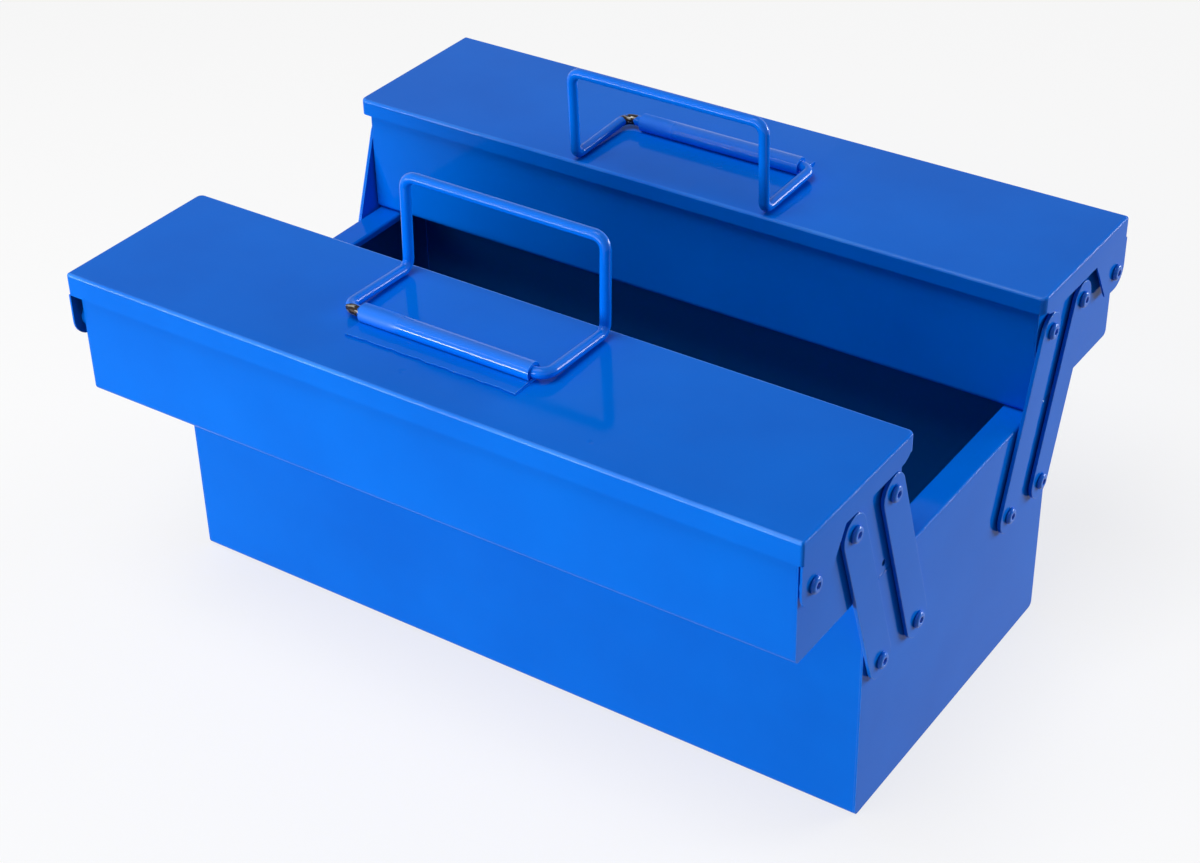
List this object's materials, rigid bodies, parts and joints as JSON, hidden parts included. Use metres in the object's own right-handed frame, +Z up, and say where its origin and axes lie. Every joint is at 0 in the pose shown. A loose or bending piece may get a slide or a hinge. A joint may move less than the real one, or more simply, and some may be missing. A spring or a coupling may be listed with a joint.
{
  "type": "cantilever tool box",
  "caption": "Portable cantilever tool box, shown open: a deep base, lidded trays on parallel link arms along both sides, and a folding wire handle on each lid.",
  "frame": {"origin": "middle of the footprint, on the ground", "axes": "+X along the box to the right, +Y from the front to the back, +Z up"},
  "size_m": [0.4122, 0.322, 0.2544],
  "materials": {
    "shell_paint": "gloss blue stove enamel on sheet steel",
    "end_paint": "gloss blue stove enamel on sheet steel",
    "lid_paint": "high-gloss blue stove enamel",
    "arm_paint": "gloss blue stove enamel",
    "rivet_paint": "gloss blue stove enamel over steel",
    "wire_paint": "gloss blue stove enamel on steel wire"
  },
  "bodies": {
    "base": {"base_shell": "shell_paint", "base_end_left": "end_paint", "base_end_right": "end_paint", "front_lower_rivets": "rivet_paint", "front_lower_washers": "rivet_paint", "back_lower_rivets": "rivet_paint", "back_lower_washers": "rivet_paint"},
    "front_inner_arms": {"front_inner_arm_left": "arm_paint", "front_inner_arm_right": "arm_paint"},
    "front_outer_arms": {"front_outer_arm_left": "arm_paint", "front_outer_arm_right": "arm_paint"},
    "front_tray": {"front_tray_shell": "shell_paint", "front_tray_end_left": "end_paint", "front_tray_end_right": "end_paint", "front_upper_rivets": "rivet_paint", "front_upper_washers": "rivet_paint", "front_hinge_rivets": "rivet_paint", "front_hinge_spacers": "rivet_paint"},
    "front_lid": {"front_lid": "lid_paint", "front_handle_sleeve": "lid_paint"},
    "front_handle": {"front_handle": "wire_paint"},
    "back_inner_arms": {"back_inner_arm_left": "arm_paint", "back_inner_arm_right": "arm_paint"},
    "back_outer_arms": {"back_outer_arm_left": "arm_paint", "back_outer_arm_right": "arm_paint"},
    "back_tray": {"back_tray_shell": "shell_paint", "back_tray_end_left": "end_paint", "back_tray_end_right": "end_paint", "back_upper_rivets": "rivet_paint", "back_upper_washers": "rivet_paint", "back_hinge_rivets": "rivet_paint", "back_hinge_spacers": "rivet_paint"},
    "back_lid": {"back_lid": "lid_paint", "back_handle_sleeve": "lid_paint"},
    "back_handle": {"back_handle": "wire_paint"}
  },
  "joints": [
    {"name": "front_swing", "type": "hinge", "parent": "base", "child": "front_inner_arms", "pos_m": [0, -0.048, 0.087], "axis": [-1, 0, 0], "range_deg": [0, 38.41]},
    {"name": "front_outer_swing", "type": "hinge", "parent": "base", "child": "front_outer_arms", "pos_m": [0, -0.083, 0.087], "axis": [-1, 0, 0], "range_deg": [0, 38.42]},
    {"name": "front_tray_level", "type": "hinge", "parent": "front_inner_arms", "child": "front_tray", "pos_m": [0, -0.079, 0.176], "axis": [-1, 0, 0], "range_deg": [-38.42, 0]},
    {"name": "front_lid_hinge", "type": "hinge", "parent": "front_tray", "child": "front_lid", "pos_m": [0, -0.1505, 0.1736], "axis": [-1, 0, 0], "range_deg": [-110, 0]},
    {"name": "front_handle_turn", "type": "hinge", "parent": "front_lid", "child": "front_handle", "pos_m": [-0.005, -0.1195, 0.20542], "axis": [1, 0, 0], "range_deg": [0, 180]},
    {"name": "back_swing", "type": "hinge", "parent": "base", "child": "back_inner_arms", "pos_m": [0, 0.048, 0.087], "axis": [1, 0, 0], "range_deg": [0, 38.41]},
    {"name": "back_outer_swing", "type": "hinge", "parent": "base", "child": "back_outer_arms", "pos_m": [0, 0.083, 0.087], "axis": [1, 0, 0], "range_deg": [0, 38.42]},
    {"name": "back_tray_level", "type": "hinge", "parent": "back_inner_arms", "child": "back_tray", "pos_m": [0, 0.079, 0.176], "axis": [1, 0, 0], "range_deg": [-38.42, 0]},
    {"name": "back_lid_hinge", "type": "hinge", "parent": "back_tray", "child": "back_lid", "pos_m": [0, 0.1505, 0.1736], "axis": [1, 0, 0], "range_deg": [-110, 0]},
    {"name": "back_handle_turn", "type": "hinge", "parent": "back_lid", "child": "back_handle", "pos_m": [-0.003, 0.1135, 0.20542], "axis": [-1, 0, 0], "range_deg": [0, 163]}
  ],
  "couplings": [
    {"joint": "front_outer_swing", "follows": "front_swing", "ratio": 1},
    {"joint": "front_tray_level", "follows": "front_swing", "ratio": -1},
    {"joint": "back_outer_swing", "follows": "back_swing", "ratio": 1},
    {"joint": "back_tray_level", "follows": "back_swing", "ratio": -1}
  ]
}
